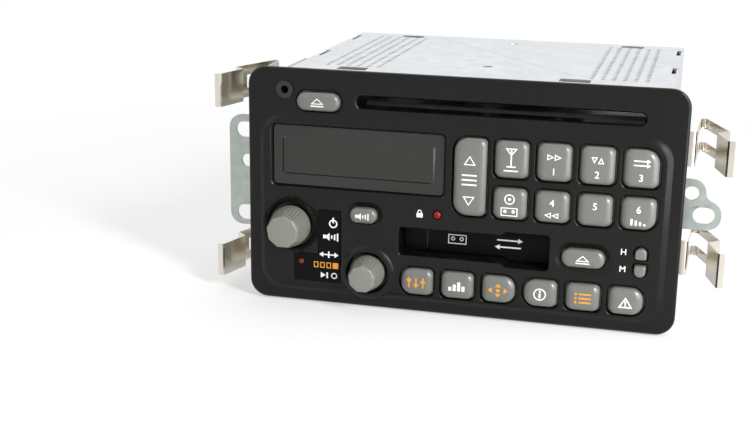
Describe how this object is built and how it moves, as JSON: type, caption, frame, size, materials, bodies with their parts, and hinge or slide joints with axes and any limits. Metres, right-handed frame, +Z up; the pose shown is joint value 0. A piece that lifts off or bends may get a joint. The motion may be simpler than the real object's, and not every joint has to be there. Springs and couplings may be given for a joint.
{
  "type": "car radio",
  "caption": "Dashboard radio with a disc slot, a cassette bay behind a flap, knobs and keys round a display, and a sheet-metal chassis with side ears and spring clips.",
  "frame": {"origin": "middle of the chassis floor, on its underside", "axes": "+X to the right as seen from the front, +Y to the back, +Z up"},
  "size_m": [0.2316, 0.193, 0.1086],
  "materials": {
    "bezel_black": "fine satin texture",
    "key_grey": "satin grey",
    "lens_smoke": "smoked gloss",
    "legend_black": "gloss black",
    "lamp_red": "clear red",
    "lamp_amber": "clear amber",
    "galvanised": "galvanised",
    "zinc_plate": "zinc plated",
    "spring_steel": "bright spring steel",
    "board_green": "solder mask",
    "dark_plastic": "moulded",
    "display_glass": "dark display",
    "deck_steel": "zinc plated",
    "sink_alloy": "extruded",
    "shaft_steel": "turned",
    "hub_plastic": "moulded",
    "roller_rubber": "soft rubber",
    "flywheel_brass": "plated"
  },
  "bodies": {
    "chassis": {"front_bezel": "bezel_black", "display_lens": "lens_smoke", "legend_panel": "legend_black", "red_lamp": "lamp_red", "amber_lamp": "lamp_amber", "aux_jack": "dark_plastic", "display_panel": "display_glass", "front_board": "board_green", "key_switches": "dark_plastic", "encoder_cups": "dark_plastic", "front_plate": "galvanised", "chassis_frame": "galvanised", "top_cover": "galvanised", "bottom_cover": "galvanised", "left_bracket": "zinc_plate", "right_bracket": "zinc_plate", "spring_clips": "spring_steel", "bracket_screws": "shaft_steel", "heat_sink": "sink_alloy", "wiring_socket": "dark_plastic", "aerial_socket": "shaft_steel", "main_board": "board_green", "disc_deck": "deck_steel", "spindle_motor": "deck_steel", "tape_deck": "deck_steel"},
    "disc_eject_key": {"disc_eject_key": "key_grey"},
    "band_key": {"band_key": "key_grey"},
    "source_key": {"source_key": "key_grey"},
    "preset_1_key": {"preset_1_key": "key_grey"},
    "preset_2_key": {"preset_2_key": "key_grey"},
    "preset_3_key": {"preset_3_key": "key_grey"},
    "preset_4_key": {"preset_4_key": "key_grey"},
    "preset_5_key": {"preset_5_key": "key_grey"},
    "preset_6_key": {"preset_6_key": "key_grey"},
    "tone_key": {"tone_key": "key_grey"},
    "equaliser_key": {"equaliser_key": "key_grey"},
    "balance_key": {"balance_key": "key_grey"},
    "info_key": {"info_key": "key_grey"},
    "program_key": {"program_key": "key_grey"},
    "traffic_key": {"traffic_key": "key_grey"},
    "speed_volume_key": {"speed_volume_key": "key_grey"},
    "tape_eject_key": {"tape_eject_key": "key_grey"},
    "hour_key": {"hour_key": "key_grey"},
    "minute_key": {"minute_key": "key_grey"},
    "seek_rocker": {"seek_rocker": "key_grey"},
    "volume_rotor": {"volume_rotor": "hub_plastic"},
    "volume_knob": {"volume_knob": "key_grey", "volume_shaft": "shaft_steel"},
    "tune_rotor": {"tune_rotor": "hub_plastic"},
    "tune_knob": {"tune_knob": "key_grey", "tune_shaft": "shaft_steel"},
    "tape_door": {"tape_door": "bezel_black"},
    "loading_roller": {"loading_roller": "roller_rubber"},
    "turntable": {"turntable": "dark_plastic"},
    "optical_sled": {"optical_sled": "dark_plastic"},
    "sled_screw": {"sled_screw": "shaft_steel"},
    "front_reel_hub": {"front_reel_hub": "hub_plastic"},
    "front_flywheel": {"front_flywheel": "flywheel_brass"},
    "rear_reel_hub": {"rear_reel_hub": "hub_plastic"},
    "rear_flywheel": {"rear_flywheel": "flywheel_brass"}
  },
  "joints": [
    {"name": "disc_eject_press", "type": "slide", "parent": "chassis", "child": "disc_eject_key", "axis": [0, 1, 0], "range_m": [0, 0.0008], "stiffness_N_per_m": 1200},
    {"name": "band_press", "type": "slide", "parent": "chassis", "child": "band_key", "axis": [0, 1, 0], "range_m": [0, 0.0008], "stiffness_N_per_m": 1200},
    {"name": "source_press", "type": "slide", "parent": "chassis", "child": "source_key", "axis": [0, 1, 0], "range_m": [0, 0.0008], "stiffness_N_per_m": 1200},
    {"name": "preset_1_press", "type": "slide", "parent": "chassis", "child": "preset_1_key", "axis": [0, 1, 0], "range_m": [0, 0.0008], "stiffness_N_per_m": 1200},
    {"name": "preset_2_press", "type": "slide", "parent": "chassis", "child": "preset_2_key", "axis": [0, 1, 0], "range_m": [0, 0.0008], "stiffness_N_per_m": 1200},
    {"name": "preset_3_press", "type": "slide", "parent": "chassis", "child": "preset_3_key", "axis": [0, 1, 0], "range_m": [0, 0.0008], "stiffness_N_per_m": 1200},
    {"name": "preset_4_press", "type": "slide", "parent": "chassis", "child": "preset_4_key", "axis": [0, 1, 0], "range_m": [0, 0.0008], "stiffness_N_per_m": 1200},
    {"name": "preset_5_press", "type": "slide", "parent": "chassis", "child": "preset_5_key", "axis": [0, 1, 0], "range_m": [0, 0.0008], "stiffness_N_per_m": 1200},
    {"name": "preset_6_press", "type": "slide", "parent": "chassis", "child": "preset_6_key", "axis": [0, 1, 0], "range_m": [0, 0.0008], "stiffness_N_per_m": 1200},
    {"name": "tone_press", "type": "slide", "parent": "chassis", "child": "tone_key", "axis": [0, 1, 0], "range_m": [0, 0.0008], "stiffness_N_per_m": 1200},
    {"name": "equaliser_press", "type": "slide", "parent": "chassis", "child": "equaliser_key", "axis": [0, 1, 0], "range_m": [0, 0.0008], "stiffness_N_per_m": 1200},
    {"name": "balance_press", "type": "slide", "parent": "chassis", "child": "balance_key", "axis": [0, 1, 0], "range_m": [0, 0.0008], "stiffness_N_per_m": 1200},
    {"name": "info_press", "type": "slide", "parent": "chassis", "child": "info_key", "axis": [0, 1, 0], "range_m": [0, 0.0008], "stiffness_N_per_m": 1200},
    {"name": "program_press", "type": "slide", "parent": "chassis", "child": "program_key", "axis": [0, 1, 0], "range_m": [0, 0.0008], "stiffness_N_per_m": 1200},
    {"name": "traffic_press", "type": "slide", "parent": "chassis", "child": "traffic_key", "axis": [0, 1, 0], "range_m": [0, 0.0008], "stiffness_N_per_m": 1200},
    {"name": "speed_volume_press", "type": "slide", "parent": "chassis", "child": "speed_volume_key", "axis": [0, 1, 0], "range_m": [0, 0.0008], "stiffness_N_per_m": 1200},
    {"name": "tape_eject_press", "type": "slide", "parent": "chassis", "child": "tape_eject_key", "axis": [0, 1, 0], "range_m": [0, 0.0008], "stiffness_N_per_m": 1200},
    {"name": "hour_press", "type": "slide", "parent": "chassis", "child": "hour_key", "axis": [0, 1, 0], "range_m": [0, 0.0008], "stiffness_N_per_m": 1200},
    {"name": "minute_press", "type": "slide", "parent": "chassis", "child": "minute_key", "axis": [0, 1, 0], "range_m": [0, 0.0008], "stiffness_N_per_m": 1200},
    {"name": "seek_rock", "type": "hinge", "parent": "chassis", "child": "seek_rocker", "pos_m": [0.0056, -0.085, 0.0653], "axis": [1, 0, 0], "range_deg": [-2, 2], "stiffness_Nm_per_rad": 0.4},
    {"name": "volume_turn", "type": "hinge", "parent": "chassis", "child": "volume_rotor", "pos_m": [-0.077, -0.0835, 0.0361], "axis": [0, -1, 0], "continuous": true},
    {"name": "volume_push", "type": "slide", "parent": "volume_rotor", "child": "volume_knob", "axis": [0, 1, 0], "range_m": [0, 0.0008], "stiffness_N_per_m": 2500},
    {"name": "tune_turn", "type": "hinge", "parent": "chassis", "child": "tune_rotor", "pos_m": [-0.04, -0.0835, 0.0174], "axis": [0, -1, 0], "continuous": true},
    {"name": "tune_push", "type": "slide", "parent": "tune_rotor", "child": "tune_knob", "axis": [0, 1, 0], "range_m": [0, 0.0008], "stiffness_N_per_m": 2500},
    {"name": "tape_door_swing", "type": "hinge", "parent": "chassis", "child": "tape_door", "pos_m": [0.00785, -0.0791, 0.0378], "axis": [1, 0, 0], "range_deg": [0, 88], "stiffness_Nm_per_rad": 0.004},
    {"name": "loading_roller_spin", "type": "hinge", "parent": "chassis", "child": "loading_roller", "pos_m": [0.0163, -0.0675, 0.08915], "axis": [1, 0, 0], "continuous": true},
    {"name": "turntable_spin", "type": "hinge", "parent": "chassis", "child": "turntable", "pos_m": [0.0163, -0.0005, 0.0844], "axis": [0, 0, 1], "continuous": true},
    {"name": "sled_slide", "type": "slide", "parent": "chassis", "child": "optical_sled", "axis": [0, 1, 0], "range_m": [0, 0.035]},
    {"name": "sled_screw_turn", "type": "hinge", "parent": "chassis", "child": "sled_screw", "pos_m": [0.0363, 0.0295, 0.0874], "axis": [0, 1, 0], "continuous": true},
    {"name": "front_reel_hub_spin", "type": "hinge", "parent": "chassis", "child": "front_reel_hub", "pos_m": [0.00585, -0.0385, 0.0134], "axis": [0, 0, 1], "continuous": true},
    {"name": "front_flywheel_spin", "type": "hinge", "parent": "chassis", "child": "front_flywheel", "pos_m": [0.03085, -0.0385, 0.0134], "axis": [0, 0, 1], "continuous": true},
    {"name": "rear_reel_hub_spin", "type": "hinge", "parent": "chassis", "child": "rear_reel_hub", "pos_m": [0.00585, 0.004, 0.0134], "axis": [0, 0, 1], "continuous": true},
    {"name": "rear_flywheel_spin", "type": "hinge", "parent": "chassis", "child": "rear_flywheel", "pos_m": [0.03085, 0.004, 0.0134], "axis": [0, 0, 1], "continuous": true}
  ],
  "couplings": [
    {"joint": "sled_screw_turn", "follows": "sled_slide", "rad_per_m": 1047.2},
    {"joint": "rear_flywheel_spin", "follows": "front_flywheel_spin", "ratio": -1}
  ]
}
